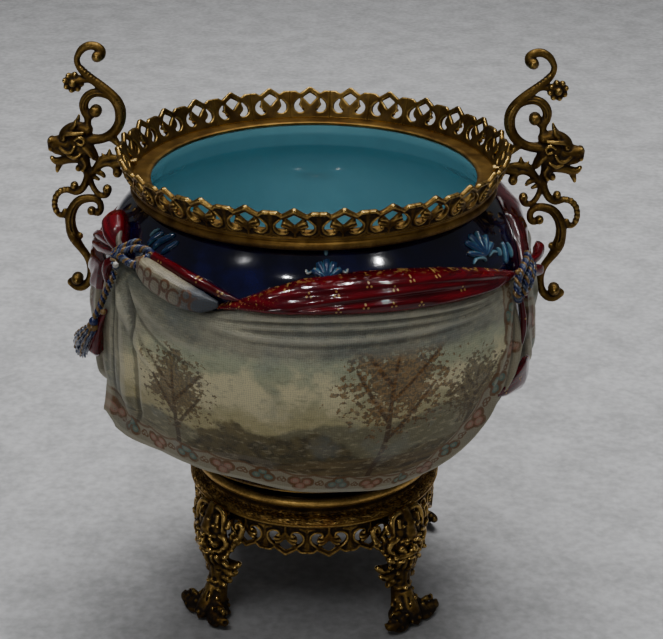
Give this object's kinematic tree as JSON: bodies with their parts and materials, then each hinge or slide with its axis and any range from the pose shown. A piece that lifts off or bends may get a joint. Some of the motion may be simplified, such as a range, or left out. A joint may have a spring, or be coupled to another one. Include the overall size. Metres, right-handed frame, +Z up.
{
  "type": "jardiniere",
  "caption": "Footed ceramic planter with relief drapery, in cast metal mounts: pierced mouth gallery, scroll handles with beast heads, ring stand on cast legs.",
  "frame": {"origin": "on the floor, at the middle of the stand and under the middle of the mouth", "axes": "+Z up, -Y towards the front with the big turned-over cloth, +X to the right handle"},
  "size_m": [0.3984, 0.3355, 0.4388],
  "materials": {
    "dark_glaze": "deep glossy glaze outside, turquoise glaze inside",
    "cloth_glaze": "painted relief cloth under a soft glaze",
    "crimson_glaze": "glossy crimson glaze",
    "cord_glaze": "blue, white and yellow glazes",
    "turquoise_glaze": "light blue glossy glaze",
    "gilt_metal": "cast, patinated, with rubbed highs",
    "dark_metal": "cast, darker patina",
    "steel": "plain turned steel",
    "cork": "cork sheet",
    "leather": "plain tanned leather"
  },
  "bodies": {
    "root": {"bowl": "dark_glaze", "front_drape": "cloth_glaze", "back_drape": "cloth_glaze", "left_bow": "crimson_glaze", "right_bow": "crimson_glaze", "left_cord": "cord_glaze", "right_cord": "cord_glaze", "tassel": "cord_glaze", "shoulder_sprigs": "turquoise_glaze", "rim_collar": "gilt_metal", "gallery_section_1": "gilt_metal", "gallery_section_2": "gilt_metal", "gallery_section_3": "gilt_metal", "left_handle": "gilt_metal", "right_handle": "gilt_metal", "handle_screws": "gilt_metal", "stand_ring": "gilt_metal", "apron_front": "gilt_metal", "apron_right": "gilt_metal", "apron_back": "gilt_metal", "apron_left": "gilt_metal", "leg_front_left": "gilt_metal", "leg_front_right": "gilt_metal", "leg_back_left": "gilt_metal", "leg_back_right": "gilt_metal", "leg_screws": "steel", "cork_ring": "cork", "cross_bars": "dark_metal", "tie_bolt": "gilt_metal", "leather_washer": "leather", "floor_washer": "gilt_metal", "under_washer": "steel", "tie_nut": "steel"}
  },
  "joints": []
}
